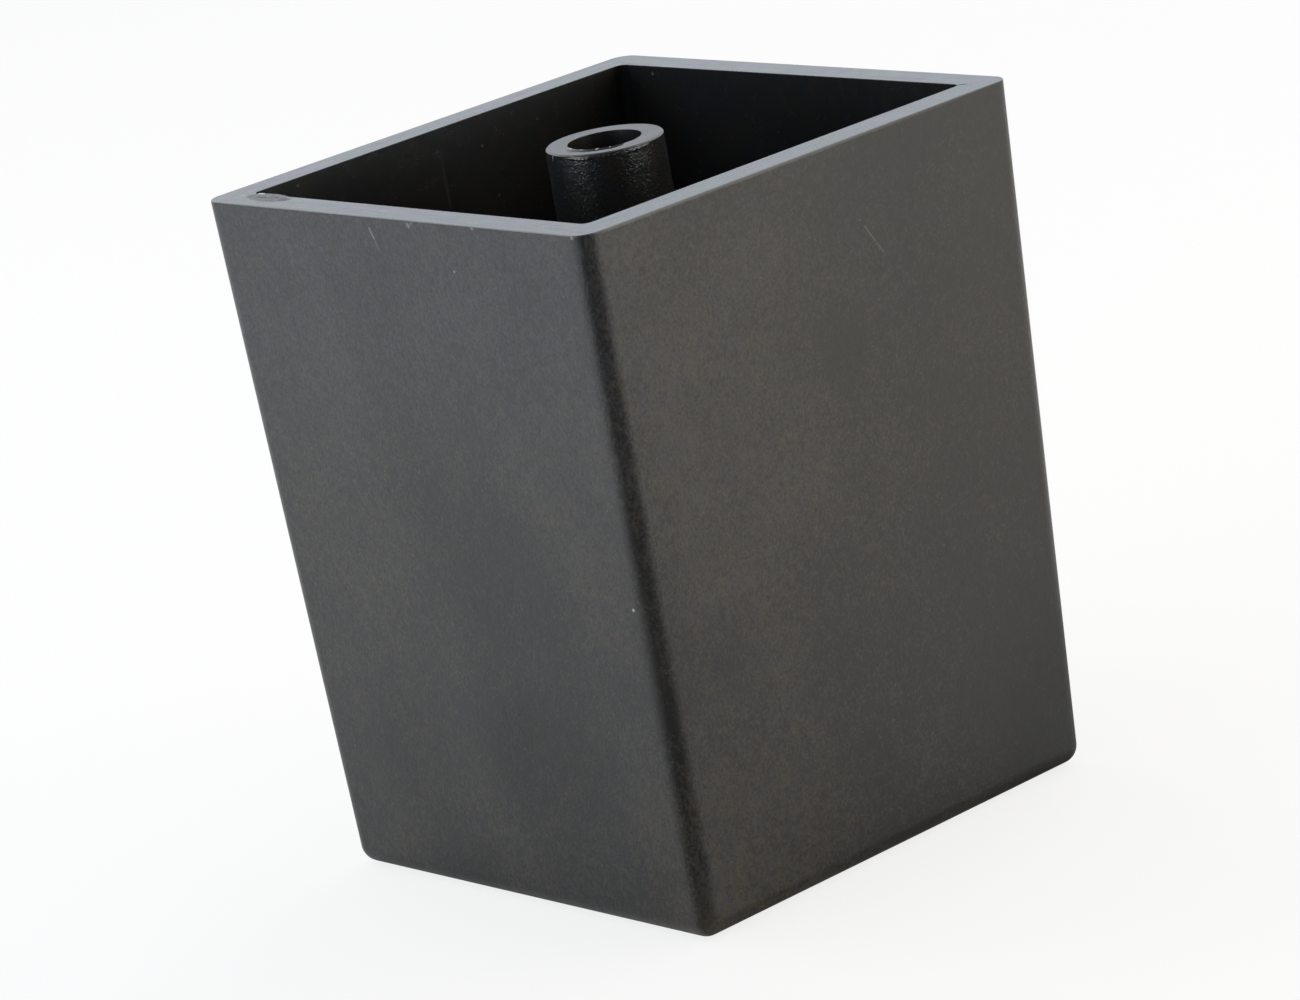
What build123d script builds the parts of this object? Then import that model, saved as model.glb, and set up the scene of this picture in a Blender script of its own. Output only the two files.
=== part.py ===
from build123d import *
import math
import os

# A square furniture foot, moulded in one piece: a tapered box, open at the top,
# with a bored boss that stands free in its middle and takes the fixing.
# Frame: the origin is the centre of the base, +Z points up to the rim, and the
# sides lie along X and Y. Lengths are in millimetres, angles in degrees.

# Outer body
TOP_SIDE = 64.4  # across the rim, which meets the furniture
BASE_SIDE = 60.0  # across the base, before its edge is rounded
HEIGHT = 80.0  # from the base to the rim
EDGE_RADIUS = 2.2  # the four upright corners and the edge of the base
RIM_OUTER_RADIUS = 0.15  # outer edge of the rim

# Hollow inside
WALL = 4.0  # the four sides, measured level
FLOOR = 4.0  # the closed base
CAVITY_RADIUS = 1.0  # inner corners, upright and along the floor

# Boss and its bore
BORE_DIAMETER = 8.4  # close clearance hole of an 8 mm fixing
BOSS_WALL = 2.45  # around the bore, at the boss's top, which is level with the rim
BOSS_DRAFT = 0.5  # each side of the boss leans in by this angle
BOSS_EDGE_CHAMFER = 0.15  # outer edge of the boss's top
BOSS_ROOT_RADIUS = 1.5  # where the boss grows out of the floor


def side_at(height):
    """Outer side of the tapered body at a height above the base."""
    return BASE_SIDE + (TOP_SIDE - BASE_SIDE) * height / HEIGHT


def tapered_block(low, inset, radius):
    """A block that follows the body's taper up to the rim, its uprights and lower edge rounded."""
    side = side_at(low) - 2 * inset
    foot_plane = Plane.XY.offset(low)
    block = extrude(foot_plane * Rectangle(side, side), HEIGHT - low)
    lean = math.degrees(math.atan2((TOP_SIDE - BASE_SIDE) / 2, HEIGHT))
    block = draft(block.faces().filter_by(Axis.Z, reverse=True), foot_plane, -lean)
    top_edges = block.edges().group_by(Axis.Z)[-1]
    return fillet(block.edges() - top_edges, radius)


def shell():
    """The outer body, hollowed from above to an even wall, with its rim eased on the outside."""
    body = tapered_block(0, 0, EDGE_RADIUS) - tapered_block(FLOOR, WALL, CAVITY_RADIUS)
    rim = body.faces().sort_by(Axis.Z)[-1]
    return fillet(rim.outer_wire().edges(), RIM_OUTER_RADIUS)


def boss():
    """The drafted boss that stands on the floor, without its bore."""
    top_radius = BORE_DIAMETER / 2 + BOSS_WALL
    root_radius = top_radius + (HEIGHT - FLOOR) * math.tan(math.radians(BOSS_DRAFT))
    half_section = Plane.XZ * Polygon(
        (0, FLOOR),
        (root_radius, FLOOR),
        (top_radius, HEIGHT - BOSS_EDGE_CHAMFER),
        (top_radius - BOSS_EDGE_CHAMFER, HEIGHT),
        (0, HEIGHT),
        align=None,
    )
    return revolve(half_section, Axis.Z)


def bore():
    """The blind round bore, from the floor to the boss's top."""
    circle = Plane.XY.offset(FLOOR) * Circle(BORE_DIAMETER / 2)
    return extrude(circle, HEIGHT - FLOOR)


def foot_body():
    """The whole moulding: shell and boss in one, rounded at the boss's root, then bored."""
    moulding = shell() + boss()
    on_floor = moulding.edges().filter_by(GeomType.CIRCLE).filter_by_position(Axis.Z, FLOOR, FLOOR)
    root = on_floor.sort_by(SortBy.RADIUS)[-1]
    return fillet(root, BOSS_ROOT_RADIUS) - bore()


os.makedirs("parts", exist_ok=True)
export_step(foot_body(), "parts/foot_body.step")
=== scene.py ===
"""Looks of a square furniture foot: one black plastic moulding, standing on a white studio table."""

import logging
import math
from dataclasses import dataclass, field
from enum import Enum
from typing import Dict, List, Optional, Sequence, Tuple, Union

import bmesh
import bpy
from mathutils import Matrix, Quaternion, Vector, noise


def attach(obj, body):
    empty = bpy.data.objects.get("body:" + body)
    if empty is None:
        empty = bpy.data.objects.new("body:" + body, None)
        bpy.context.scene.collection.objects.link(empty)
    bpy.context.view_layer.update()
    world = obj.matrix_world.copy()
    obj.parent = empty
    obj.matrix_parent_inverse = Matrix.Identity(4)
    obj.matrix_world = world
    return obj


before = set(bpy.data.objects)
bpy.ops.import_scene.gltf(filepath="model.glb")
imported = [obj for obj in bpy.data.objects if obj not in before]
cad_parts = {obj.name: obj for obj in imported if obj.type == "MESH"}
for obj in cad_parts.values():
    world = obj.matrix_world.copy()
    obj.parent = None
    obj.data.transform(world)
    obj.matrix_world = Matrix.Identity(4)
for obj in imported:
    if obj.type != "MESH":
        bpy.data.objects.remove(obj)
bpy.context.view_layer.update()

LOG = logging.getLogger("furniture_foot")
MM = 0.001
MICROMETRE = 1e-6
BODY = "root"

Colour = Tuple[float, float, float]
Spot = Tuple[float, float, float]
Number = Union[int, float]
# The values at which a step is 0 and 1
Band = Tuple[float, float]

# Keeps only the level part of a vector that it multiplies
LEVEL: Spot = (1.0, 1.0, 0.0)
NOISE_MIDDLE = 0.5


class Blend(Enum):
    """How two colours go together."""

    MIX = "MIX"
    MULTIPLY = "MULTIPLY"


class Ray(Enum):
    """A kind of light ray, by Light Path's own name."""

    CAMERA = "Is Camera Ray"
    GLOSSY = "Is Glossy Ray"
    TRANSMISSION = "Is Transmission Ray"


class Shade:
    """A value that changes over a surface: one node output, with arithmetic on it."""

    def __init__(self, graph: "Graph", socket: bpy.types.NodeSocket) -> None:
        """Keeps the output socket and the graph that it belongs to."""
        self.graph = graph
        self.socket = socket

    def __add__(self, other: "Value") -> "Shade":
        """Sum of two values."""
        return self.graph.math("ADD", self, other)

    __radd__ = __add__

    def __mul__(self, other: "Value") -> "Shade":
        """Product of two values."""
        return self.graph.math("MULTIPLY", self, other)

    __rmul__ = __mul__

    def __sub__(self, other: "Value") -> "Shade":
        """This value less another."""
        return self.graph.math("SUBTRACT", self, other)

    def __rsub__(self, other: "Value") -> "Shade":
        """Another value less this one."""
        return self.graph.math("SUBTRACT", other, self)

    def __abs__(self) -> "Shade":
        """The value without its sign."""
        return self.graph.math("ABSOLUTE", self)

    def step(self, low: float, high: float) -> "Shade":
        """Eases from 0 at low to 1 at high, or the other way round where low is the larger.

        Args:
            low: Value at which the step is 0.
            high: Value at which the step is 1.

        Returns:
            The eased step.
        """
        made = self.graph.node(
            "ShaderNodeMapRange",
            {"interpolation_type": "SMOOTHSTEP"},
            {"Value": self, "From Min": low, "From Max": high},
        )
        return Shade(self.graph, made.outputs[0])


Value = Union[Shade, Number]
SocketValue = Union[Shade, Number, Sequence[float]]


class Graph:
    """A node tree that is written as expressions."""

    def __init__(self, tree: bpy.types.NodeTree) -> None:
        """Empties the tree and keeps it."""
        tree.nodes.clear()
        self.tree = tree

    def node(
        self,
        kind: str,
        settings: Optional[Dict[str, object]] = None,
        sockets: Optional[Dict[Union[str, int], SocketValue]] = None,
    ) -> bpy.types.Node:
        """Adds a node.

        Args:
            kind: The node's type.
            settings: Its own settings, which are set first.
            sockets: Values or links of its inputs, by name or number.

        Returns:
            The node.
        """
        made = self.tree.nodes.new(kind)
        for name, value in (settings or {}).items():
            setattr(made, name, value)
        for key, value in (sockets or {}).items():
            if isinstance(value, Shade):
                self.tree.links.new(value.socket, made.inputs[key])
            else:
                made.inputs[key].default_value = value
        return made

    def math(self, operation: str, *values: Value) -> Shade:
        """Adds a Math node on values."""
        made = self.node("ShaderNodeMath", {"operation": operation}, dict(enumerate(values)))
        return Shade(self, made.outputs[0])

    def vector(self, operation: str, *values: SocketValue) -> Shade:
        """Adds a Vector Math node on vectors, whose result is a vector or, for a length or dot, a value."""
        made = self.node("ShaderNodeVectorMath", {"operation": operation}, dict(enumerate(values)))
        output = "Value" if operation in ("LENGTH", "DOT_PRODUCT", "DISTANCE") else "Vector"
        return Shade(self, made.outputs[output])

    def scaled(self, vector: SocketValue, factor: Value) -> Shade:
        """Adds a vector times a value."""
        made = self.node("ShaderNodeVectorMath", {"operation": "SCALE"}, {"Vector": vector, "Scale": factor})
        return Shade(self, made.outputs["Vector"])

    def limited(self, value: Shade) -> Shade:
        """A value held between 0 and 1."""
        return self.math("MINIMUM", self.math("MAXIMUM", value, 0.0), 1.0)

    def mix(self, factor: Value, low: SocketValue, high: SocketValue, blend: Blend = Blend.MIX) -> Shade:
        """Mixes two colours.

        Args:
            factor: 0 gives the first colour, and 1 the second or the two blended.
            low: The first colour.
            high: The second colour.
            blend: How they go together.

        Returns:
            The mixed colour.
        """
        settings = {"data_type": "RGBA", "blend_type": blend.value}
        made = self.node("ShaderNodeMix", settings, {0: factor, 6: self.rgba(low), 7: self.rgba(high)})
        return Shade(self, made.outputs[2])

    @staticmethod
    def rgba(colour: SocketValue) -> SocketValue:
        """A written colour with its alpha, or a linked one as it is."""
        return colour if isinstance(colour, Shade) else (*colour, 1.0)

    def axes(self, vector: Shade) -> Tuple[Shade, Shade, Shade]:
        """The three parts of a vector."""
        made = self.node("ShaderNodeSeparateXYZ", None, {0: vector})
        return tuple(Shade(self, output) for output in made.outputs)

    def noise(self, vector: Shade, scale: float, detail: float, roughness: float) -> Shade:
        """A soft noise around 0.5.

        Args:
            vector: Where it is read.
            scale: Lumps per unit of the vector.
            detail: How many finer layers it has.
            roughness: How strong the finer layers are.

        Returns:
            The noise.
        """
        sockets = {"Vector": vector, "Scale": scale, "Detail": detail, "Roughness": roughness}
        return Shade(self, self.node("ShaderNodeTexNoise", None, sockets).outputs[0])

    def place(self) -> Shade:
        """The point on the object, in metres."""
        return Shade(self, self.node("ShaderNodeTexCoord").outputs["Object"])

    def bump(self, height: Shade) -> Shade:
        """The normal of a relief whose height is in micrometres."""
        sockets = {"Strength": 1.0, "Distance": MICROMETRE, "Height": height}
        return Shade(self, self.node("ShaderNodeBump", None, sockets).outputs[0])

    def surface(self, shader: bpy.types.Node) -> None:
        """Makes a shader the surface of the material."""
        self.node("ShaderNodeOutputMaterial", None, {"Surface": Shade(self, shader.outputs[0])})

    def ray(self, *kinds: Ray) -> Shade:
        """1 for a ray of one of these kinds and 0 for others."""
        path = self.node("ShaderNodeLightPath")
        total = Shade(self, path.outputs[kinds[0].value])
        for kind in kinds[1:]:
            total = self.math("MAXIMUM", total, Shade(self, path.outputs[kind.value]))
        return total


def new_finish(name: str) -> Tuple[bpy.types.Material, Graph]:
    """Makes an empty material.

    Args:
        name: The material's name.

    Returns:
        The material, and the graph to write it in.
    """
    made = bpy.data.materials.new(name)
    made.use_nodes = True
    return made, Graph(made.node_tree)


@dataclass(frozen=True)
class Unevenness:
    """A soft noise over a surface: lumps per millimetre, finer layers, their strength, and its gain."""

    scale: float
    detail: float = 2.0
    strength: float = 0.6
    gain: float = 1.0

    def at(self, graph: Graph, spot: Shade) -> Shade:
        """The noise at a point, around 0.5 and without its gain."""
        return graph.noise(spot, self.scale, self.detail, self.strength)

    def swing(self, graph: Graph, spot: Shade) -> Shade:
        """The noise at a point, around 0 and times its gain."""
        return (self.at(graph, spot) - NOISE_MIDDLE) * self.gain


@dataclass(frozen=True)
class Zones:
    """Where on the moulding a point lies: a mask from 0 to 1 for each kind of surface.

    Across_x is 1 on the sides that face along X, and low grows from 0 at the rim to 1 at the base.
    """

    face: Shade
    rim: Shade
    inside: Shade
    corner: Shade
    boss: Shade
    grained: Shade
    cap: Shade
    across_x: Shade
    low: Shade


@dataclass(frozen=True)
class FootSizes:
    """Sizes of the moulding in millimetres, as the solid has them.

    The skins, reaches and feet are the stretches over which one kind of surface gives way to another.
    """

    base_half: float = 30.0
    top_half: float = 32.2
    height: float = 80.0
    wall: float = 4.0
    boss_radius: float = 6.65
    bore_radius: float = 4.2
    rim_skin: Band = (0.10, 0.03)
    wall_skin: Band = (0.6, 0.2)
    boss_skin: float = 0.2
    boss_reach: Band = (9.0, 8.0)
    boss_foot: Band = (3.0, 5.0)
    hollow_foot: Band = (3.0, 3.9)
    corner_reach: Band = (1.6, 0.8)
    diagonal: Band = (-0.2, 0.2)

    def half_at(self, height: Value) -> Value:
        """Half of the outer side at a height."""
        return height * ((self.top_half - self.base_half) / self.height) + self.base_half

    def zones(self, graph: Graph, spot: Shade) -> Zones:
        """Tells the moulding's surfaces apart.

        Args:
            graph: The graph to write in.
            spot: The point, in millimetres.

        Returns:
            The masks.
        """
        x, y, z = graph.axes(spot)
        half = self.half_at(z)
        depth = half - graph.math("MAXIMUM", abs(x), abs(y))
        from_corner = half - self.wall - graph.math("MINIMUM", abs(x), abs(y))
        radius = graph.vector("LENGTH", graph.vector("MULTIPLY", spot, LEVEL))
        top = z.step(self.height - self.rim_skin[0], self.height - self.rim_skin[1])
        middle = radius.step(*self.boss_reach)
        boss = middle * z.step(*self.boss_foot) * (1 - top)
        inside = depth.step(self.wall - self.wall_skin[0], self.wall - self.wall_skin[1])
        inside = inside * z.step(*self.hollow_foot) * (1 - middle) * (1 - top)
        return Zones(
            face=(1 - top) * (1 - inside) * (1 - boss),
            rim=top * (1 - middle),
            inside=inside,
            corner=inside * from_corner.step(*self.corner_reach),
            boss=boss,
            grained=boss * radius.step(self.bore_radius + self.boss_skin, self.boss_radius - self.boss_skin),
            cap=top * middle,
            across_x=(abs(x) - abs(y)).step(*self.diagonal),
            low=z.step(self.height, 0.0),
        )


# Shares of a mark's width, and of a smudge-and-shade patch's reach, over which each fades in
MARK_FADE: Band = (0.75, 0.3)
SMUDGE_AND_SHADE_FADE: Band = (1.0, 0.25)


@dataclass(frozen=True)
class Mark:
    """A scratch, nick or speck on a surface, from one point to another in millimetres.

    Its width is across it, pale says how much lighter it has turned, and its cut is how deep it lies, in
    micrometres, below the surface.
    """

    start: Spot
    end: Spot
    width: float
    pale: float
    cut: float = 0.0

    def mask(self, graph: Graph, spot: Shade) -> Shade:
        """1 on the mark and 0 off it, by the distance to its line.

        Args:
            graph: The graph to write in.
            spot: The point, in millimetres.

        Returns:
            The mask.
        """
        run = Vector(self.end) - Vector(self.start)
        away = graph.vector("SUBTRACT", spot, self.start)
        if run.length > 0.0:
            part = graph.vector("DOT_PRODUCT", away, tuple(run / run.length_squared))
            away = graph.vector("SUBTRACT", away, graph.scaled(tuple(run), graph.limited(part)))
        return graph.vector("LENGTH", away).step(self.width * MARK_FADE[0], self.width * MARK_FADE[1])


@dataclass(frozen=True)
class SmudgeAndShade:
    """A soft oval patch whose tone and gloss differ from the face round it, in millimetres: partly smudging,
    partly painted shade and painted light.

    Its halves are measured along the axes, and are wide across the face that it lies on. Dark is what its
    tone loses and matt what its roughness gains. Below 0, the patch is lighter or glossier instead.
    """

    middle: Spot
    halves: Spot
    dark: float
    matt: float

    def mask(self, graph: Graph, spot: Shade) -> Shade:
        """1 in the patch's middle and 0 from its line outwards."""
        away = graph.vector("DIVIDE", graph.vector("SUBTRACT", spot, self.middle), self.halves)
        return graph.vector("LENGTH", away).step(*SMUDGE_AND_SHADE_FADE)


@dataclass(frozen=True)
class Oval:
    """An oval on the rim, its longer axis along Y, in millimetres."""

    middle: Tuple[float, float]
    half_width: float
    half_length: float

    def reach(self, graph: Graph, spot: Shade) -> Shade:
        """How far out a point lies: 0 in the oval's middle and 1 on its line."""
        away = graph.vector("SUBTRACT", spot, (*self.middle, 0.0))
        shares = (1 / self.half_width, 1 / self.half_length, 0.0)
        return graph.vector("LENGTH", graph.vector("MULTIPLY", away, shares))


SCAR = Oval((-29.0, 24.6), 1.3, 3.5)

MARKS: Tuple[Mark, ...] = (
    Mark((-32.16, 3.15, 78.71), (-32.13, 2.64, 77.56), 0.24, 0.36, 9.0),
    Mark((-32.13, 2.64, 77.50), (-32.10, 2.24, 76.34), 0.20, 0.16, 5.0),
    Mark((-32.18, -3.58, 79.52), (-32.18, -3.74, 79.38), 0.44, 0.36, 6.0),
    Mark((-32.19, -4.40, 79.76), (-32.18, -3.90, 79.48), 0.28, 0.20, 4.0),
    Mark((-32.19, -14.3, 79.76), (-32.19, -14.5, 79.75), 0.26, 0.40, 4.0),
    Mark((-32.05, -9.98, 74.69), (-32.05, -9.98, 74.69), 0.26, 0.60),
    Mark((-31.06, -28.53, 38.41), (-31.06, -28.50, 38.35), 0.30, 1.00),
    Mark((7.27, -31.92, 69.97), (8.53, -31.87, 67.96), 0.20, 0.15, 3.0),
    Mark((8.66, -31.86, 67.63), (9.61, -31.83, 66.41), 0.20, 0.12, 3.0),
    Mark((6.60, -31.95, 70.86), (6.76, -31.94, 70.76), 0.20, 0.12),
    Mark((-28.4, 18.1, 80.0), (-31.9, 17.0, 80.0), 0.16, 0.10, 8.0),
    Mark((-28.4, 9.8, 80.0), (-32.0, 8.7, 80.0), 0.14, 0.10, 7.0),
    Mark((-28.4, -5.9, 80.0), (-31.8, -6.7, 80.0), 0.14, 0.10, 7.0),
    Mark((-28.3, 7.92, 80.0), (-28.5, 7.7, 80.0), 0.26, 0.50),
    Mark((31.53, -8.21, 80.0), (31.53, -8.21, 80.0), 0.26, 0.60),
    Mark((-1.01, 28.13, 77.6), (-1.03, 27.95, 70.93), 0.40, 0.035, 3.0),
    Mark((-1.36, 28.13, 77.45), (-1.36, 28.13, 77.40), 0.40, 0.08),
    Mark((-21.77, 28.18, 79.1), (-21.77, 28.18, 79.1), 0.45, 0.10),
    Mark((28.18, 22.87, 79.1), (28.18, 22.87, 79.1), 0.40, 0.20),
    Mark((5.29, 28.10, 76.34), (5.29, 28.10, 76.34), 0.40, 0.12),
    Mark((6.37, 27.93, 70.17), (6.37, 27.93, 70.17), 0.36, 0.10),
    Mark((14.11, 28.12, 77.19), (14.11, 28.12, 77.19), 0.36, 0.08),
    Mark((-32.19, -30.34, 79.86), (-32.19, -30.38, 79.74), 0.30, 0.45),
    Mark((27.83, -28.44, 80.0), (28.15, -28.78, 80.0), 0.66, 0.0, 230.0),
)

# Smudging mixed with painted shade and painted light, with changes of roughness
# Most of these were fitted to the tones of the two sides that the photo shows
SMUDGES_AND_SHADE: Tuple[SmudgeAndShade, ...] = (
    SmudgeAndShade((-31.4, 5.0, 49.4), (40.0, 7.6, 16.8), 0.20, 0.05),
    SmudgeAndShade((-31.2, -7.1, 42.4), (40.0, 16.2, 14.4), 0.25, 0.055),
    SmudgeAndShade((-30.5, -9.0, 17.0), (40.0, 15.5, 16.0), 0.20, 0.115),
    SmudgeAndShade((-30.7, -2.8, 27.1), (40.0, 8.4, 19.0), 0.10, 0.04),
    SmudgeAndShade((-30.4, 14.4, 14.8), (40.0, 8.7, 15.8), 0.10, 0.07),
    SmudgeAndShade((-31.7, 16.3, 62.7), (40.0, 6.8, 27.0), -0.16, -0.03),
    SmudgeAndShade((-30.8, -23.4, 31.0), (40.0, 8.0, 20.0), -0.15, -0.03),
    SmudgeAndShade((1.5, -31.6, 58.0), (5.0, 40.0, 9.0), 0.36, 0.0),
    SmudgeAndShade((-22.0, -30.8, 31.0), (9.0, 40.0, 7.0), 0.25, 0.0),
    SmudgeAndShade((12.3, -32.0, 72.8), (16.1, 40.0, 27.8), 0.15, 0.06),
    SmudgeAndShade((28.0, -30.1, 2.0), (20.9, 40.0, 30.0), 0.15, 0.20),
    SmudgeAndShade((-22.4, -30.1, 2.0), (24.0, 40.0, 25.9), -0.35, -0.08),
    SmudgeAndShade((-16.9, -31.2, 45.1), (18.8, 40.0, 22.8), -0.20, 0.0),
    SmudgeAndShade((-29.2, -30.9, 33.1), (5.3, 40.0, 12.0), 0.20, 0.06),
    SmudgeAndShade((-30.5, -31.2, 45.0), (6.5, 4.0, 70.0), 0.30, 0.03),
    SmudgeAndShade((0.0, -32.1, 79.0), (60.0, 4.0, 9.0), 0.25, 0.0),
)


@dataclass(frozen=True)
class PaintedLightTint:
    """Painted light tint: how warm the sides that face one way are, from a start at the rim, by a gain, down
    to a height.
    """

    height: float
    gain: float
    start: float

    def at(self, z: Shade, top: float) -> Shade:
        """The warmth at a height in millimetres, below a rim at the top."""
        return z.step(top, self.height) * self.gain + self.start


@dataclass(frozen=True)
class MouldedPlastic:
    """Black satin plastic as it leaves the mould, with the grain and the wear of each of its surfaces, and
    painted shade, light, glints and an edge highlight in its colour.

    A tone of 0 is dark and of 1 light, a tint of 0 is cool and of 1 warm. Places are in millimetres and
    the relief is in micrometres.
    """

    sizes: FootSizes = FootSizes()
    ior: float = 1.6

    # Tone and tint, with painted shade and a painted light tint
    dark: Colour = (0.0018, 0.0019, 0.0021)
    light: Colour = (0.0262, 0.0262, 0.0266)
    clouds: Unevenness = Unevenness(0.09, 3.0, 0.55, gain=1.2)
    mottle: Unevenness = Unevenness(0.9, gain=1.3)
    speckle: Unevenness = Unevenness(2.6, 2.0, 0.7, gain=3.2)
    face_tone: float = 0.42
    inside_tone: float = 0.28
    boss_tone: float = 0.42
    low_painted_shade: float = 0.26
    side_painted_shade: float = 0.0125
    side_shade_start: float = 8.0
    cool: Colour = (0.70, 0.97, 1.34)
    warm: Colour = (1.30, 1.05, 0.60)
    tint_clouds: Unevenness = Unevenness(0.45)
    tint_band: Band = (0.3, 0.7)
    tint_gain: float = 0.46
    tint_start: float = 0.27
    x_light_tint: PaintedLightTint = PaintedLightTint(40.0, 0.48, -0.12)
    y_light_tint: PaintedLightTint = PaintedLightTint(30.0, 0.25, 0.05)
    rim_violet: Colour = (0.024, 0.008, 0.028)
    rim_green: Colour = (0.006, 0.024, 0.014)
    rim_patches: Unevenness = Unevenness(0.22)
    rim_patch_band: Band = (0.38, 0.62)
    # Pale colour of the real marks, and of the painted glints and the painted edge highlight
    scuff_and_highlight: Colour = (0.30, 0.30, 0.30)

    # Painted glints: pale dots in the colour
    glint_scale: float = 1.5
    glint_size: Band = (0.16, 0.06)
    glint_lot: Band = (0.55, 0.95)
    face_glint: float = 0.16
    rim_glint: float = 0.05
    boss_glint: float = 0.30

    # Gloss
    face_roughness: float = 0.36
    rim_roughness: float = 0.27
    inside_roughness: float = 0.26
    boss_roughness: float = 0.27
    cap_roughness: float = 0.37
    corner_polish: float = 0.15
    low_matt: float = 0.045
    uneven_gloss: Unevenness = Unevenness(0.6, 3.0, gain=0.10)
    streak_gloss: float = 0.20

    # Relief
    streaks: Unevenness = Unevenness(1.0, 3.0)
    streak_across: float = 2.6
    streak_along: float = 0.09
    streak_relief: float = 1.0
    fine: Unevenness = Unevenness(2.8)
    face_grain: float = 36.0
    rim_grain: float = 0.4
    inside_grain: float = 14.0
    waves: Unevenness = Unevenness(0.8, 1.0, 0.5)
    face_waves: float = 40.0
    coarse: Unevenness = Unevenness(4.4, 1.0, 0.5)
    boss_grain: float = 74.0
    scar_band: Band = (1.26, 0.96)
    scar_ramp: float = 150.0

    # Painted highlight along the outer edge of one side's rim
    edge_highlight_pale: float = 0.19
    edge_highlight_height: float = 0.38
    edge_highlight_ragged: Unevenness = Unevenness(1.6, gain=0.3)
    edge_highlight_face: Band = (-31.95, -32.1)
    edge_highlight_start: Band = (-30.0, -28.2)
    edge_highlight_end: Band = (30.0, 8.0)
    edge_highlight_line: Band = (0.0, 0.08)
    edge_highlight_crest: Band = (0.1, 0.5)
    edge_highlight_crest_share: float = 0.1

    # Broken mouth of the bore
    break_slope: float = 950.0
    break_reach: float = 1.25
    break_ragged: Unevenness = Unevenness(1.1, gain=0.8)
    break_azimuth: float = 211.0
    break_turn: Band = (0.6, 0.9)
    break_line: Band = (-0.05, 0.1)

    def material(self, name: str) -> bpy.types.Material:
        """Makes the finish.

        Args:
            name: The material's name.

        Returns:
            The material.
        """
        made, graph = new_finish(name)
        spot = graph.scaled(graph.place(), 1 / MM)
        zones = self.sizes.zones(graph, spot)
        marks = [mark.mask(graph, spot) for mark in MARKS]
        smudge_and_shade_masks = [smudge_and_shade.mask(graph, spot) for smudge_and_shade in SMUDGES_AND_SHADE]
        streaks = self.rim_streaks(graph, spot, zones)
        sockets = {
            "Base Color": self.colour(graph, spot, zones, marks, smudge_and_shade_masks),
            "Roughness": self.roughness(graph, spot, zones, smudge_and_shade_masks, streaks),
            "IOR": self.ior,
            "Normal": self.normal(graph, spot, zones, marks, streaks),
        }
        graph.surface(graph.node("ShaderNodeBsdfPrincipled", None, sockets))
        return made

    def colour(
        self, graph: Graph, spot: Shade, zones: Zones, marks: List[Shade], smudge_and_shade_masks: List[Shade]
    ) -> Shade:
        """Black that is cloudy and speckled on the handled faces, clean inside, pale along the marks, with
        painted shade, light and glints.

        Args:
            graph: The graph to write in.
            spot: The point, in millimetres.
            zones: Where on the moulding it lies.
            marks: The marks' masks.
            smudge_and_shade_masks: The masks of the smudge and painted shade patches.

        Returns:
            The base colour.
        """
        x = graph.axes(spot)[0]
        tone = self.clouds.swing(graph, spot) + self.mottle.swing(graph, spot)
        tone = tone + self.speckle.swing(graph, spot) + self.face_tone
        # Painted shade: the tone grows darker towards the base
        tone = tone - zones.low * self.low_painted_shade
        # Painted shade: the sides that face along Y grow darker towards +X
        tone = tone - (1 - zones.across_x) * (x + self.side_shade_start) * self.side_painted_shade
        # Smudging, painted shade and painted light, patch by patch
        for smudge_and_shade, mask in zip(SMUDGES_AND_SHADE, smudge_and_shade_masks):
            tone = tone - mask * smudge_and_shade.dark
        tone = tone * (zones.face + zones.rim + zones.cap)
        tone = tone + self.inside_tone * zones.inside + self.boss_tone * zones.boss
        black = graph.mix(graph.limited(tone), self.dark, self.light)
        black = graph.mix(1.0, black, self.tint(graph, spot, zones), Blend.MULTIPLY)
        patches = self.rim_patches.at(graph, spot).step(*self.rim_patch_band)
        black = graph.mix(zones.rim, black, graph.mix(patches, self.rim_violet, self.rim_green))
        # Pale: the painted glints, the painted edge highlight and the real marks
        pale = graph.math("MAXIMUM", self.glints(graph, spot, zones), self.painted_edge_highlight(graph, spot))
        for mark, mask in zip(MARKS, marks):
            pale = graph.math("MAXIMUM", pale, mask * mark.pale)
        return graph.mix(pale, black, self.scuff_and_highlight)

    def tint(self, graph: Graph, spot: Shade, zones: Zones) -> Shade:
        """The colour that the black is multiplied by: cloudy from cool to warm, with a painted light tint
        that warms each side lower down.

        Args:
            graph: The graph to write in.
            spot: The point, in millimetres.
            zones: Where on the moulding it lies.

        Returns:
            The tint.
        """
        z = graph.axes(spot)[2]
        tint = self.tint_clouds.at(graph, spot).step(*self.tint_band) * self.tint_gain + self.tint_start
        # Painted light tint: the coloured light on each side, warmer towards the base
        tint = tint + zones.across_x * self.x_light_tint.at(z, self.sizes.height)
        tint = tint + (1 - zones.across_x) * self.y_light_tint.at(z, self.sizes.height)
        return graph.mix(tint, self.cool, self.warm)

    def glints(self, graph: Graph, spot: Shade, zones: Zones) -> Shade:
        """Painted glints: tiny pale dots, few on the faces and more on the boss, from 0 to 1.

        Args:
            graph: The graph to write in.
            spot: The point, in millimetres.
            zones: Where on the moulding it lies.

        Returns:
            The glints' mask.
        """
        cells = graph.node("ShaderNodeTexVoronoi", None, {"Vector": spot, "Scale": self.glint_scale})
        near = Shade(graph, cells.outputs["Distance"]).step(*self.glint_size)
        lot = graph.axes(Shade(graph, cells.outputs["Color"]))[0]
        pale = self.face_glint * zones.face + self.rim_glint * zones.rim + self.boss_glint * zones.grained
        return near * lot.step(*self.glint_lot) * pale

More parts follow.
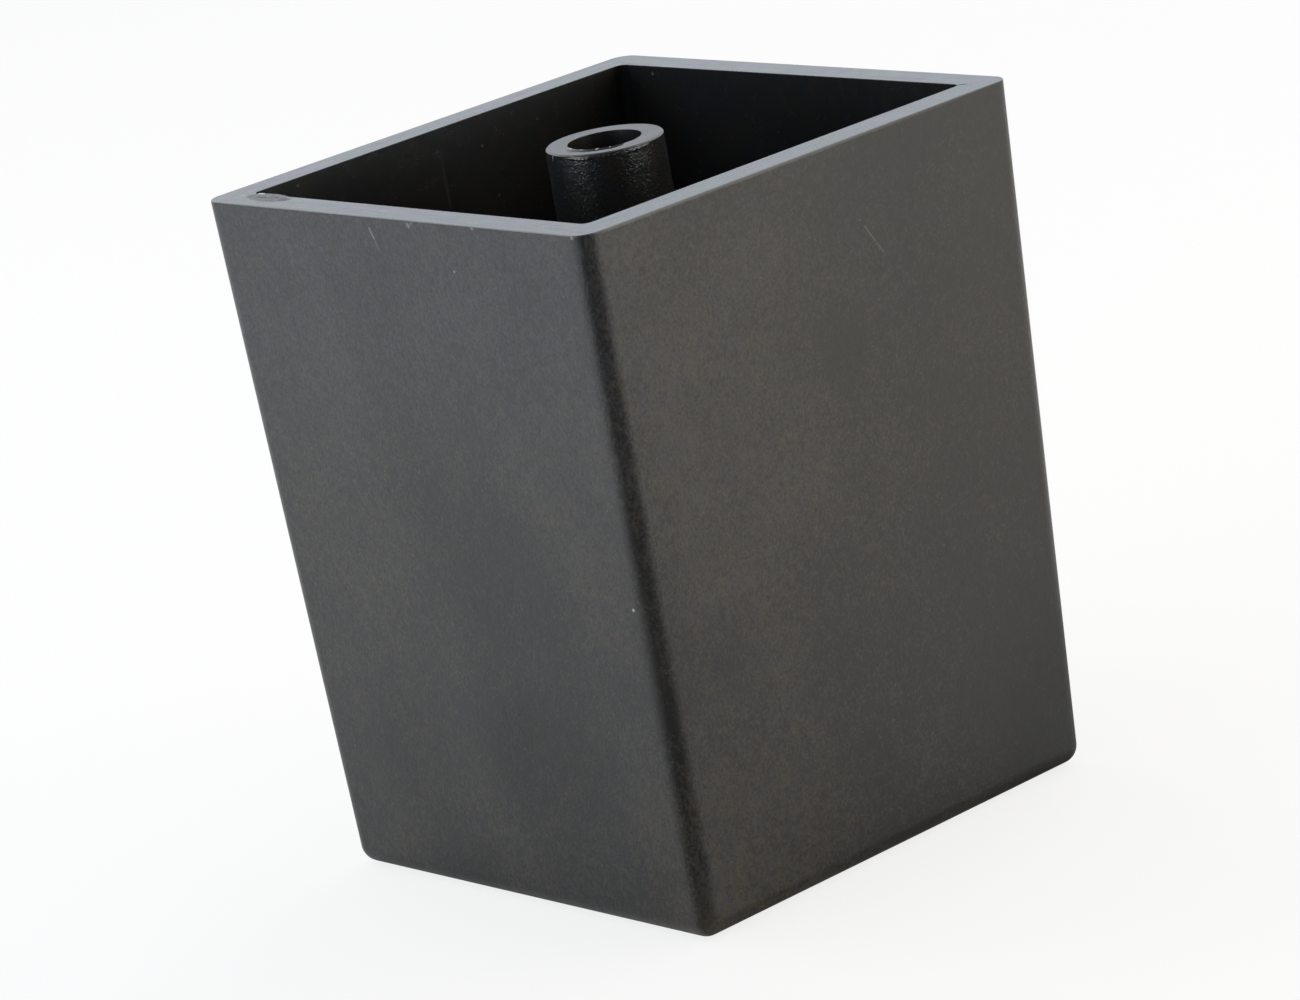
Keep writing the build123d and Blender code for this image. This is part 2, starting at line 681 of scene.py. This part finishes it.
    def rim_streaks(self, graph: Graph, spot: Shade, zones: Zones) -> Shade:
        """Fine streaks that run along each side of the rim, around 0.

        Args:
            graph: The graph to write in.
            spot: The point, in millimetres.
            zones: Where on the moulding it lies.

        Returns:
            The streaks.
        """
        drawn_y = graph.vector("MULTIPLY", spot, (self.streak_across, self.streak_along, 1.0))
        drawn_x = graph.vector("MULTIPLY", spot, (self.streak_along, self.streak_across, 1.0))
        along_y = self.streaks.at(graph, drawn_y) * zones.across_x
        along_x = self.streaks.at(graph, drawn_x) * (1 - zones.across_x)
        return (along_y + along_x - NOISE_MIDDLE) * zones.rim

    def roughness(
        self, graph: Graph, spot: Shade, zones: Zones, smudge_and_shade_masks: List[Shade], streaks: Shade
    ) -> Shade:
        """How matt each surface is, with a little unevenness.

        Args:
            graph: The graph to write in.
            spot: The point, in millimetres.
            zones: Where on the moulding it lies.
            smudge_and_shade_masks: The masks of the smudge and painted shade patches.
            streaks: The rim's streaks.

        Returns:
            The roughness.
        """
        plain = (
            zones.face * self.face_roughness
            + zones.rim * self.rim_roughness
            + zones.inside * self.inside_roughness
            - zones.corner * self.corner_polish
            + zones.boss * self.boss_roughness
            + zones.cap * self.cap_roughness
        )
        for smudge_and_shade, mask in zip(SMUDGES_AND_SHADE, smudge_and_shade_masks):
            plain = plain + mask * zones.face * smudge_and_shade.matt
        plain = plain + zones.low * zones.face * zones.across_x * self.low_matt
        return plain + self.uneven_gloss.swing(graph, spot) + streaks * self.streak_gloss

    def normal(self, graph: Graph, spot: Shade, zones: Zones, marks: List[Shade], streaks: Shade) -> Shade:
        """The surface's relief: grain, streaks, cuts, the bore's broken mouth and the ramp round the scar.

        Args:
            graph: The graph to write in.
            spot: The point, in millimetres.
            zones: Where on the moulding it lies.
            marks: The marks' masks.
            streaks: The rim's streaks.

        Returns:
            The bumped normal.
        """
        grain = zones.face * self.face_grain + (zones.rim + zones.cap) * self.rim_grain
        grain = grain + (zones.inside - zones.corner) * self.inside_grain
        height = self.fine.at(graph, spot) * grain
        height = height + self.waves.at(graph, spot) * zones.face * self.face_waves
        height = height + self.coarse.at(graph, spot) * zones.grained * self.boss_grain
        height = height + streaks * self.streak_relief
        height = height - self.bore_break(graph, spot) * self.break_slope
        height = height + SCAR.reach(graph, spot).step(*self.scar_band) * zones.rim * self.scar_ramp
        for mark, mask in zip(MARKS, marks):
            if mark.cut:
                height = height - mask * mark.cut
        return graph.bump(height)

    def painted_edge_highlight(self, graph: Graph, spot: Shade) -> Shade:
        """Painted highlight: a pale band along the outer edge of one side's rim, strongest beside the front
        corner.

        Args:
            graph: The graph to write in.
            spot: The point, in millimetres.

        Returns:
            How pale the painted highlight makes the edge, from 0 to 1.
        """
        x, y, z = graph.axes(spot)
        side = y.step(*self.edge_highlight_face) * x.step(*self.edge_highlight_start) * x.step(*self.edge_highlight_end)
        rise = z + self.edge_highlight_ragged.swing(graph, spot) - self.sizes.height + self.edge_highlight_height
        line = rise.step(*self.edge_highlight_line) * self.edge_highlight_pale
        crest = rise.step(*self.edge_highlight_crest) * self.edge_highlight_crest_share * self.edge_highlight_pale
        return side * (line + crest)

    def bore_break(self, graph: Graph, spot: Shade) -> Shade:
        """The hollow where the bore's mouth has broken out on one side.

        Args:
            graph: The graph to write in.
            spot: The point, in millimetres.

        Returns:
            How far the hollow's face lies from the bore, in millimetres.
        """
        level = graph.vector("MULTIPLY", spot, LEVEL)
        radius = graph.vector("LENGTH", level)
        edge = radius + self.break_ragged.swing(graph, spot)
        middle = math.radians(self.break_azimuth)
        way = (math.cos(middle), math.sin(middle), 0.0)
        turned = graph.vector("DOT_PRODUCT", graph.vector("NORMALIZE", level), way)
        reach = turned.step(*self.break_turn) * self.break_reach
        away = radius - self.sizes.bore_radius
        return away * (reach + self.sizes.bore_radius - edge).step(*self.break_line)


@dataclass(frozen=True)
class TornPlastic:
    """The same plastic where it was torn or trimmed: a little paler, glossier and finely broken up.

    Its grain and its waves are in micrometres.
    """

    dark: Colour = (0.012, 0.012, 0.0125)
    pale: Colour = (0.085, 0.085, 0.088)
    roughness: float = 0.26
    uneven_gloss: float = 0.2
    ior: float = 1.6
    grain: float = 10.0
    waves: float = 0.0
    flecks: Unevenness = Unevenness(3.0)
    fleck_band: Band = (0.45, 0.72)
    fine: Unevenness = Unevenness(7.0)
    slow: Unevenness = Unevenness(1.2)

    def material(self, name: str) -> bpy.types.Material:
        """Makes the finish.

        Args:
            name: The material's name.

        Returns:
            The material.
        """
        made, graph = new_finish(name)
        spot = graph.scaled(graph.place(), 1 / MM)
        flecks = self.flecks.at(graph, spot).step(*self.fleck_band)
        fine = self.fine.at(graph, spot)
        sockets = {
            "Base Color": graph.mix(flecks, self.dark, self.pale),
            "Roughness": self.roughness + (fine - NOISE_MIDDLE) * self.uneven_gloss,
            "IOR": self.ior,
            "Normal": graph.bump(fine * self.grain + self.slow.at(graph, spot) * self.waves),
        }
        graph.surface(graph.node("ShaderNodeBsdfPrincipled", None, sockets))
        return made


TORN = TornPlastic()
# Pale finish of the whisker, the flecks and the sliver; on the flecks and the sliver its paleness is a
# painted glint
WHITENED_AND_GLINT = TornPlastic(dark=(0.30, 0.30, 0.30), pale=(0.60, 0.60, 0.60))
DULL = TornPlastic(pale=(0.07, 0.068, 0.078), roughness=0.42, waves=90.0)


def finished(name: str, mesh: bmesh.types.BMesh, material: bpy.types.Material) -> bpy.types.Object:
    """Makes a piece of the foot from a closed mesh in metres, and frees the mesh.

    Args:
        name: The piece's name.
        mesh: Its mesh, in place.
        material: Its finish.

    Returns:
        The piece, riding on the foot.
    """
    bmesh.ops.recalc_face_normals(mesh, faces=mesh.faces)
    for face in mesh.faces:
        face.smooth = True
    data = bpy.data.meshes.new(name)
    mesh.to_mesh(data)
    mesh.free()
    data.materials.append(material)
    piece = bpy.data.objects.new(name, data)
    bpy.context.scene.collection.objects.link(piece)
    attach(piece, BODY)
    return piece


@dataclass(frozen=True)
class Swell:
    """A stretch of a bead that is thicker: the azimuth of its middle, its half width and its gain."""

    azimuth: float
    reach: float
    gain: float

    def at(self, azimuth: float) -> float:
        """What the stretch adds at an azimuth in degrees."""
        away = abs((azimuth - self.azimuth + 180.0) % 360.0 - 180.0) / self.reach
        return self.gain * max(0.0, 1.0 - away * away)


# Where a bead's finer noise is read, apart from its coarser one
CRUMB_SHIFT = Vector((5.0, 0.0, 0.0))


@dataclass(frozen=True)
class Bead:
    """A thin ragged bead of flash round the bore's axis, in millimetres and degrees.

    Its thickness is its section's radius where it is thinnest, and it swells from there. Its section is
    tall times as high as wide. An arc that isn't a whole turn runs out to a point at both ends.
    """

    name: str
    radius: float
    height: float
    thickness: float
    start: float
    sweep: float
    ragged: float
    swells: Tuple[Swell, ...]
    tall: float = 1.0
    sides: int = 8
    pitch: float = 1.5
    lumps: float = 9.0
    crumbs: float = 23.0
    crumb_share: float = 0.7
    run_out: float = 8.0
    thinnest: float = 0.05

    def build(self, material: bpy.types.Material) -> bpy.types.Object:
        """Spins the bead's section round the axis, closes its ends and roughens it.

        Args:
            material: Its finish.

        Returns:
            The bead.
        """
        mesh = bmesh.new()
        bmesh.ops.create_circle(mesh, segments=self.sides, radius=self.thickness * MM)
        bmesh.ops.scale(mesh, vec=(1.0, self.tall, 1.0), verts=mesh.verts)
        upright = Matrix.Rotation(math.pi / 2, 4, "X")
        out = Matrix.Translation(Vector((self.radius, 0.0, self.height)) * MM)
        turn = Matrix.Rotation(math.radians(self.start), 4, "Z")
        bmesh.ops.transform(mesh, matrix=turn @ out @ upright, verts=mesh.verts)
        whole = self.sweep >= 360.0
        bmesh.ops.spin(
            mesh, geom=mesh.edges[:], cent=(0.0, 0.0, 0.0), axis=(0.0, 0.0, 1.0),
            angle=math.radians(self.sweep), steps=round(self.sweep / self.pitch), use_merge=whole,
        )
        ends = [edge for edge in mesh.edges if edge.is_boundary]
        if ends:
            bmesh.ops.holes_fill(mesh, edges=ends, sides=0)
        for vert in mesh.verts:
            azimuth = math.degrees(math.atan2(vert.co.y, vert.co.x)) % 360.0
            level = Vector((vert.co.x, vert.co.y, 0.0)).normalized()
            line = (level * self.radius + Vector((0.0, 0.0, self.height))) * MM
            vert.co = line + (vert.co - line) * self.size(azimuth)
        return finished(self.name, mesh, material)

    def size(self, azimuth: float) -> float:
        """How thick the bead is at an azimuth, as a multiple of its thickness."""
        way = Vector((math.cos(math.radians(azimuth)), math.sin(math.radians(azimuth)), 0.0))
        crumbs = noise.noise(way * self.crumbs + CRUMB_SHIFT)
        rough = noise.noise(way * self.lumps) + self.crumb_share * crumbs
        size = 1.0 + self.ragged * rough + sum(swell.at(azimuth) for swell in self.swells)
        if self.sweep < 360.0:
            along = ((azimuth - self.start) % 360.0) / self.sweep
            size *= min(1.0, self.run_out * along, self.run_out * (1.0 - along))
        return max(self.thinnest, size)


@dataclass(frozen=True)
class Fleck:
    """A pale crumb on an edge round the bore's axis, its paleness a painted glint, in degrees and
    millimetres.

    Its halves are measured out from the axis, round it and up.
    """

    azimuth: float
    radius: float
    height: float
    halves: Spot

    def add(self, mesh: bmesh.types.BMesh) -> None:
        """Adds the crumb to a mesh."""
        made = bmesh.ops.create_icosphere(mesh, subdivisions=2, radius=MM)
        size = Matrix.Diagonal((*self.halves, 1.0))
        out = Matrix.Translation(Vector((self.radius, 0.0, self.height)) * MM)
        turn = Matrix.Rotation(math.radians(self.azimuth), 4, "Z")
        bmesh.ops.transform(mesh, matrix=turn @ out @ size, verts=made["verts"])


@dataclass
class BossFlash:
    """What the mould and the trimming left at the boss's top: beads round its edges and one whisker."""

    outer: Bead = Bead(
        name="boss_lip", radius=6.52, height=79.60, thickness=0.15, start=172.0, sweep=118.0, ragged=0.25,
        swells=(Swell(203.0, 18.0, 0.45), Swell(259.0, 20.0, 0.45)), tall=1.6, sides=12,
    )
    inner: Bead = Bead(
        name="bore_lip", radius=4.20, height=79.93, thickness=0.045, start=140.0, sweep=118.0, ragged=0.55,
        swells=(Swell(166.0, 5.0, 0.8), Swell(217.0, 5.0, 0.6)),
    )
    flecks: Tuple[Fleck, ...] = (
        Fleck(166.0, 4.36, 80.0, (0.22, 0.24, 0.05)),
        Fleck(217.0, 4.50, 80.0, (0.30, 0.15, 0.05)),
        Fleck(236.0, 4.40, 80.0, (0.16, 0.10, 0.03)),
        Fleck(192.0, 4.40, 80.0, (0.10, 0.25, 0.04)),
        Fleck(199.0, 6.77, 79.56, (0.06, 0.16, 0.07)),
        Fleck(202.5, 6.78, 79.55, (0.07, 0.18, 0.09)),
        Fleck(206.5, 6.78, 79.54, (0.07, 0.20, 0.09)),
        Fleck(210.0, 6.76, 79.54, (0.06, 0.12, 0.07)),
        Fleck(249.0, 6.76, 79.56, (0.05, 0.14, 0.04)),
        Fleck(256.0, 6.77, 79.57, (0.05, 0.22, 0.04)),
        Fleck(262.0, 6.76, 79.60, (0.05, 0.20, 0.04)),
    )
    whisker_azimuth: float = 168.0
    whisker_radius: float = 6.68
    whisker_rise: float = 0.19
    whisker_length: float = 0.55
    whisker_thickness: float = 0.06
    whisker_tip: float = 0.3
    whisker_sides: int = 6
    whisker_lean: float = 14.0

    def build(self, torn: bpy.types.Material, whitened_and_glint: bpy.types.Material) -> List[bpy.types.Object]:
        """Builds the beads in one finish, the whisker and the flecks in another, and returns them."""
        beads = [self.outer.build(torn), self.inner.build(torn), self.whisker(whitened_and_glint)]
        return beads + [self.scatter(whitened_and_glint)]

    def scatter(self, material: bpy.types.Material) -> bpy.types.Object:
        """Makes all the flecks as one piece in a finish and returns it."""
        mesh = bmesh.new()
        for fleck in self.flecks:
            fleck.add(mesh)
        return finished("boss_flecks", mesh, material)

    def whisker(self, material: bpy.types.Material) -> bpy.types.Object:
        """A thread of plastic that hangs from the boss's edge.

        Args:
            material: Its finish.

        Returns:
            The whisker.
        """
        mesh = bmesh.new()
        bmesh.ops.create_cone(
            mesh, cap_ends=True, segments=self.whisker_sides,
            radius1=self.whisker_tip * self.whisker_thickness * MM,
            radius2=self.whisker_thickness * MM, depth=self.whisker_length * MM,
        )
        hang = Matrix.Translation((0.0, 0.0, -0.5 * self.whisker_length * MM))
        lean = Matrix.Rotation(math.radians(-self.whisker_lean), 4, "Y")
        root = Vector((self.whisker_radius, 0.0, self.outer.height + self.whisker_rise))
        turn = Matrix.Rotation(math.radians(self.whisker_azimuth), 4, "Z")
        bmesh.ops.transform(mesh, matrix=turn @ Matrix.Translation(root * MM) @ lean @ hang, verts=mesh.verts)
        return finished("boss_whisker", mesh, material)


@dataclass
class GateScar:
    """The oval scar on the rim's left corner, where the plastic ran into the mould, in millimetres.

    Each ridge is a step inwards and a rise. Above its skin, the scar is swayed and pitted by a noise.
    """

    oval: Oval = SCAR
    top: float = 80.0
    root: float = 79.85
    skin: float = 79.99
    sides: int = 56
    ridges: Tuple[Tuple[float, float], ...] = ((0.28, 0.02), (0.20, -0.015), (0.25, 0.015), (0.25, -0.015))
    sway: float = 0.05
    sway_scale: float = 1.3
    pits: float = 0.008
    pit_scale: float = 2.0
    pit_level: float = 0.6
    sliver_halves: Spot = (0.28, 0.65, 0.06)
    sliver_middle: Spot = (-28.05, 26.7, 79.985)
    sliver_sway: float = 0.04
    sliver_scale: float = 3.0

    def build(self, material: bpy.types.Material) -> bpy.types.Object:
        """Raises an oval from the rim and steps it in, ridge by ridge.

        Args:
            material: Its finish.

        Returns:
            The scar.
        """
        mesh = bmesh.new()
        halves = (self.oval.half_width * MM, self.oval.half_length * MM, 1.0)
        bmesh.ops.create_circle(mesh, cap_ends=True, segments=self.sides, radius=1.0)
        bmesh.ops.scale(mesh, vec=halves, verts=mesh.verts)
        bmesh.ops.translate(mesh, vec=Vector((*self.oval.middle, self.root)) * MM, verts=mesh.verts)
        base = mesh.faces[:]
        raised = bmesh.ops.extrude_face_region(mesh, geom=base, use_keep_orig=True)
        top = [item for item in raised["geom"] if isinstance(item, bmesh.types.BMFace)]
        verts = list({vert for face in top for vert in face.verts})
        bmesh.ops.translate(mesh, vec=(0.0, 0.0, (self.top - self.root) * MM), verts=verts)
        bmesh.ops.recalc_face_normals(mesh, faces=mesh.faces)
        for step, rise in self.ridges:
            bmesh.ops.inset_individual(mesh, faces=top, thickness=step * MM, depth=rise * MM)
        for vert in mesh.verts:
            spot = vert.co / MM
            if spot.z > self.skin:
                vert.co.x += self.sway * MM * noise.noise(spot * self.sway_scale)
                vert.co.z += self.pits * MM * (noise.noise(spot * self.pit_scale) - self.pit_level)
        return finished("gate_scar", mesh, material)

    def flake(self, material: bpy.types.Material) -> bpy.types.Object:
        """A torn sliver at the scar's inner edge, its paleness a painted highlight.

        Args:
            material: Its finish.

        Returns:
            The sliver.
        """
        mesh = bmesh.new()
        bmesh.ops.create_icosphere(mesh, subdivisions=3, radius=1.0)
        bmesh.ops.scale(mesh, vec=Vector(self.sliver_halves) * MM, verts=mesh.verts)
        bmesh.ops.translate(mesh, vec=Vector(self.sliver_middle) * MM, verts=mesh.verts)
        for vert in mesh.verts:
            vert.co.x += self.sliver_sway * MM * noise.noise(vert.co / MM * self.sliver_scale)
        return finished("scar_sliver", mesh, material)


@dataclass
class Foot:
    """The moulding itself: the solid as it is, dressed in its plastic."""

    node: str = "foot_body"
    finish: MouldedPlastic = field(default_factory=MouldedPlastic)

    def dress(self) -> bpy.types.Object:
        """Gives the moulding its finish and returns it."""
        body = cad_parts[self.node]
        body.data.materials.clear()
        body.data.materials.append(self.finish.material("moulded_black_plastic"))
        return body


@dataclass(frozen=True)
class PhotoCamera:
    """The camera at the photograph's place: long lens, a little above the foot, rolled to the right."""

    aim: Spot = (-1.732, 0.790, 38.236)
    azimuth: float = -39.873
    elevation: float = 15.938
    roll: float = 9.817
    distance: float = 620.33
    lens: float = 152.084
    sensor: float = 36.0
    nearest: float = 0.01

    def back(self) -> Vector:
        """Direction from the foot to the camera."""
        turn, rise = math.radians(self.azimuth), math.radians(self.elevation)
        return Vector((math.sin(turn) * math.cos(rise), -math.cos(turn) * math.cos(rise), math.sin(rise)))

    def build(self) -> bpy.types.Object:
        """Makes the camera, makes it the scene's own and returns it."""
        data = bpy.data.cameras.new("camera")
        data.sensor_fit = "HORIZONTAL"
        data.sensor_width = self.sensor
        data.lens = self.lens
        data.clip_start = self.nearest
        camera = bpy.data.objects.new("camera", data)
        bpy.context.scene.collection.objects.link(camera)
        level = (-self.back()).to_track_quat("-Z", "Y")
        turn = level @ Quaternion((0.0, 0.0, 1.0), math.radians(-self.roll))
        place = (Vector(self.aim) + self.back() * self.distance) * MM
        camera.matrix_world = Matrix.Translation(place) @ turn.to_matrix().to_4x4()
        bpy.context.scene.camera = camera
        return camera


@dataclass(frozen=True)
class Softbox:
    """A soft lamp beside the foot.

    Its place is given round the foot, from the camera's own direction and positive to the picture's
    right, with its rise above the table. It looks at the foot, or at the table at some reach from the
    foot on its own side, and then it doesn't show in the foot's gloss. Its level is the brightness of
    its face.
    """

    name: str
    angle: float
    rise: float
    away: float
    width: float
    tall: float
    level: float
    colour: Colour
    reach: float = 0.0


@dataclass(frozen=True)
class ContactShadow:
    """A painted contact shadow: a dark strip on the table along one side of the base, which only shows in the
    base edge's gloss.

    Its middle and halves are in metres, and its tone is how light it is.
    """

    name: str
    middle: Tuple[float, float]
    halves: Tuple[float, float]
    tone: float


@dataclass
class Studio:
    """The white table, the soft light around it and the dark side where the camera stands, with dark cards of
    painted shade that only the foot's gloss sees.

    Lengths are in metres and angles in degrees. The steps are the cosines or heights between which one
    part of the room gives way to the next.
    """

    camera: PhotoCamera
    aim: Spot = (0.0, 0.0, 0.04)
    white: Colour = (1.0, 1.0, 1.0)
    floor_colour: Colour = (0.86, 0.86, 0.86)
    floor_radius: float = 3.0
    floor_sides: int = 64
    floor_height: float = -0.0001
    floor_lift: float = 0.8
    floor_gloss_lift: float = 0.05
    sky: Colour = (0.92, 0.985, 1.07)
    front_level: float = 0.04
    front_step: Band = (0.1, 0.5)
    ring_level: float = 0.4
    top_level: float = 0.35
    top_step: Band = (0.2, 0.75)
    glow_level: float = 0.91
    glow_rise: float = 18.0
    glow_step: Band = (0.75, 0.97)
    # The front card: painted shade, seen only in the foot's gloss
    card_corner_mm: Spot = (-29.0, -29.0, 0.0)
    card_reach: float = 0.6
    card_half_angle: float = 70.0
    card_sides: int = 24
    card_height: float = 0.00005
    card_near: Band = (0.26, 0.1)
    card_middle: Band = (0.25, 0.95)
    card_edge_tone: Colour = (0.7, 0.7, 0.7)
    card_near_tone: Colour = (0.24, 0.24, 0.24)
    card_far_tone: Colour = (0.15, 0.15, 0.15)
    strip_height: float = 0.0001
    contact_shadows: Tuple[ContactShadow, ...] = (
        ContactShadow("right_contact_shadow", (0.0, -0.0305), (0.030, 0.0020), 0.55),
    )
    softboxes: Tuple[Softbox, ...] = (
        Softbox("left_softbox", -135.0, 42.0, 0.9, 0.7, 0.7, 1.8, (1.0, 0.99, 0.98)),
        Softbox("right_softbox", 132.0, 42.0, 0.9, 0.8, 0.8, 1.55, (1.04, 1.0, 0.92)),
        Softbox("left_panel", -62.0, 14.0, 0.6, 0.42, 0.26, 4.6, (0.98, 0.99, 1.01)),
        Softbox("right_panel", 64.0, 14.0, 0.6, 0.42, 0.26, 3.7, (0.97, 1.0, 1.03)),
        Softbox("left_fill", -100.0, 26.0, 0.46, 0.2, 0.2, 2.7, (0.84, 0.98, 1.14), 0.36),
        Softbox("right_fill", 80.0, 26.0, 0.46, 0.2, 0.2, 1.95, (1.72, 1.06, 0.03), 0.36),
    )

    def light(self) -> None:
        """Builds the world, the table, the dark cards of painted shade and the lamps."""
        bpy.context.scene.view_settings.view_transform = "Standard"
        self.world()
        self.floor()
        self.front_shade_card()
        for strip in self.contact_shadows:
            self.contact_shadow(strip)
        for softbox in self.softboxes:
            self.lamp(softbox)

    def ahead(self) -> Vector:
        """Level direction from the foot towards the camera."""
        back = self.camera.back()
        return Vector((back.x, back.y, 0.0)).normalized()

    def towards(self, angle: float, rise: float = 0.0) -> Vector:
        """Direction at an angle from the camera's own, positive to the picture's right, and at a rise."""
        level = Matrix.Rotation(math.radians(angle), 3, "Z") @ self.ahead()
        lift = math.radians(rise)
        return level * math.cos(lift) + Vector((0.0, 0.0, math.sin(lift)))

    def world(self) -> None:
        """Soft cool light from all round, dark towards the camera; white where the camera looks at it."""
        made = bpy.data.worlds.new("soft_room")
        bpy.context.scene.world = made
        made.use_nodes = True
        graph = Graph(made.node_tree)
        way = Shade(graph, graph.node("ShaderNodeTexCoord").outputs["Generated"])
        level = graph.vector("NORMALIZE", graph.vector("MULTIPLY", way, LEVEL))
        rise = graph.axes(way)[2]
        front = graph.vector("DOT_PRODUCT", level, tuple(self.ahead())).step(*self.front_step)
        glow = tuple(self.towards(180.0, self.glow_rise))
        behind = graph.vector("DOT_PRODUCT", way, glow).step(*self.glow_step)
        ring = self.ring_level + front * (self.front_level - self.ring_level)
        strength = ring + rise.step(*self.top_step) * (self.top_level - ring) + behind * self.glow_level
        seen = graph.ray(Ray.CAMERA, Ray.TRANSMISSION)
        colour = graph.mix(seen, self.sky, self.white)
        light = graph.node("ShaderNodeBackground", None, {0: colour, 1: strength + seen * (1 - strength)})
        graph.node("ShaderNodeOutputWorld", None, {0: Shade(graph, light.outputs[0])})

    def floor(self) -> None:
        """A wide white table top, lifted to white for the camera with the foot's shadow left on it."""
        sheet = bmesh.new()
        bmesh.ops.create_circle(sheet, cap_ends=True, segments=self.floor_sides, radius=self.floor_radius)
        table = self.staged("table_top", sheet, self.floor_height)
        made, graph = new_finish("white_table")
        paper = graph.node("ShaderNodeBsdfDiffuse", None, {0: graph.rgba(self.floor_colour)})
        white = graph.node("ShaderNodeEmission", None, {0: graph.rgba(self.white), 1: 1.0})
        lift = graph.ray(Ray.CAMERA) * self.floor_lift + graph.ray(Ray.GLOSSY) * self.floor_gloss_lift
        both = {0: lift, 1: Shade(graph, paper.outputs[0]), 2: Shade(graph, white.outputs[0])}
        graph.surface(graph.node("ShaderNodeMixShader", None, both))
        table.data.materials.append(made)

    def front_shade_card(self) -> None:
        """Painted shade: a dark card on the table before the foot, standing in for the shaded table there,
        which only shows in the foot's gloss.
        """
        fan = bmesh.new()
        corner = Vector(self.card_corner_mm) * MM
        hub = fan.verts.new(corner)
        tip = fan.verts.new(corner + self.towards(-self.card_half_angle) * self.card_reach)
        edge = fan.edges.new((hub, tip))
        bmesh.ops.spin(
            fan, geom=[edge], cent=corner, axis=(0.0, 0.0, 1.0),
            angle=math.radians(2 * self.card_half_angle), steps=self.card_sides,
        )
        bmesh.ops.remove_doubles(fan, verts=fan.verts, dist=MICROMETRE)
        bmesh.ops.recalc_face_normals(fan, faces=fan.faces)
        made, graph = new_finish("painted_shade_card")
        place = graph.place()
        level = graph.vector("NORMALIZE", graph.vector("SUBTRACT", place, tuple(corner)))
        middle = graph.vector("DOT_PRODUCT", level, tuple(self.ahead()))
        near = graph.vector("DISTANCE", place, tuple(corner)).step(*self.card_near)
        deep = graph.mix(near, self.card_far_tone, self.card_near_tone)
        tone = graph.mix(middle.step(*self.card_middle), self.card_edge_tone, deep)
        graph.surface(graph.node("ShaderNodeBsdfDiffuse", None, {0: tone}))
        self.gloss_only(self.staged("front_shade_card", fan, self.card_height), made)

    def contact_shadow(self, strip: ContactShadow) -> None:
        """Lays a strip of painted contact shadow along one side of the base.

        Args:
            strip: Its place, size and tone.
        """
        sheet = bmesh.new()
        bmesh.ops.create_grid(sheet, x_segments=1, y_segments=1, size=1.0)
        bmesh.ops.scale(sheet, vec=(*strip.halves, 1.0), verts=sheet.verts)
        bmesh.ops.translate(sheet, vec=(*strip.middle, 0.0), verts=sheet.verts)
        made, graph = new_finish(strip.name)
        grey = graph.rgba((strip.tone, strip.tone, strip.tone))
        graph.surface(graph.node("ShaderNodeBsdfDiffuse", None, {0: grey}))
        self.gloss_only(self.staged(strip.name, sheet, self.strip_height), made)

    @staticmethod
    def gloss_only(card: bpy.types.Object, material: bpy.types.Material) -> None:
        """Gives a card its finish and hides it from all but the foot's gloss."""
        card.data.materials.append(material)
        card.visible_camera = False
        card.visible_diffuse = False
        card.visible_shadow = False

    def lamp(self, softbox: Softbox) -> None:
        """Hangs a soft lamp, which the camera doesn't see.

        Args:
            softbox: Its place, size, tint and level.
        """
        data = bpy.data.lights.new(softbox.name, "AREA")
        data.shape = "RECTANGLE"
        data.size, data.size_y = softbox.width, softbox.tall
        data.color = softbox.colour
        data.energy = softbox.level * math.pi * softbox.width * softbox.tall
        lamp = bpy.data.objects.new(softbox.name, data)
        bpy.context.scene.collection.objects.link(lamp)
        foot = Vector(self.aim)
        place = foot + self.towards(softbox.angle, softbox.rise) * softbox.away
        aim = self.towards(softbox.angle) * softbox.reach if softbox.reach else foot
        turn = (aim - place).to_track_quat("-Z", "Y")
        lamp.matrix_world = Matrix.Translation(place) @ turn.to_matrix().to_4x4()
        lamp.visible_camera = False
        lamp.visible_glossy = not softbox.reach

    def staged(self, name: str, mesh: bmesh.types.BMesh, height: float) -> bpy.types.Object:
        """Makes an object of the stage from a mesh at a height, frees the mesh and returns the object."""
        bmesh.ops.translate(mesh, verts=mesh.verts, vec=(0.0, 0.0, height))
        data = bpy.data.meshes.new(name)
        mesh.to_mesh(data)
        mesh.free()
        made = bpy.data.objects.new(name, data)
        bpy.context.scene.collection.objects.link(made)
        return made


def main() -> None:
    """Dresses the foot and builds the studio round it."""
    logging.basicConfig(level=logging.INFO, format="%(message)s")
    body = Foot().dress()
    LOG.info("dressed %s", body.name)
    torn = TORN.material("torn_black_plastic")
    whitened_and_glint = WHITENED_AND_GLINT.material("whitened_and_glint_plastic")
    for piece in BossFlash().build(torn, whitened_and_glint):
        LOG.info("built %s", piece.name)
    scar = GateScar()
    dull = DULL.material("dull_black_plastic")
    for piece in (scar.build(dull), scar.flake(whitened_and_glint)):
        LOG.info("built %s", piece.name)
    camera = PhotoCamera()
    camera.build()
    Studio(camera).light()
    LOG.info("studio and camera in place")


if __name__ == "__main__":
    main()
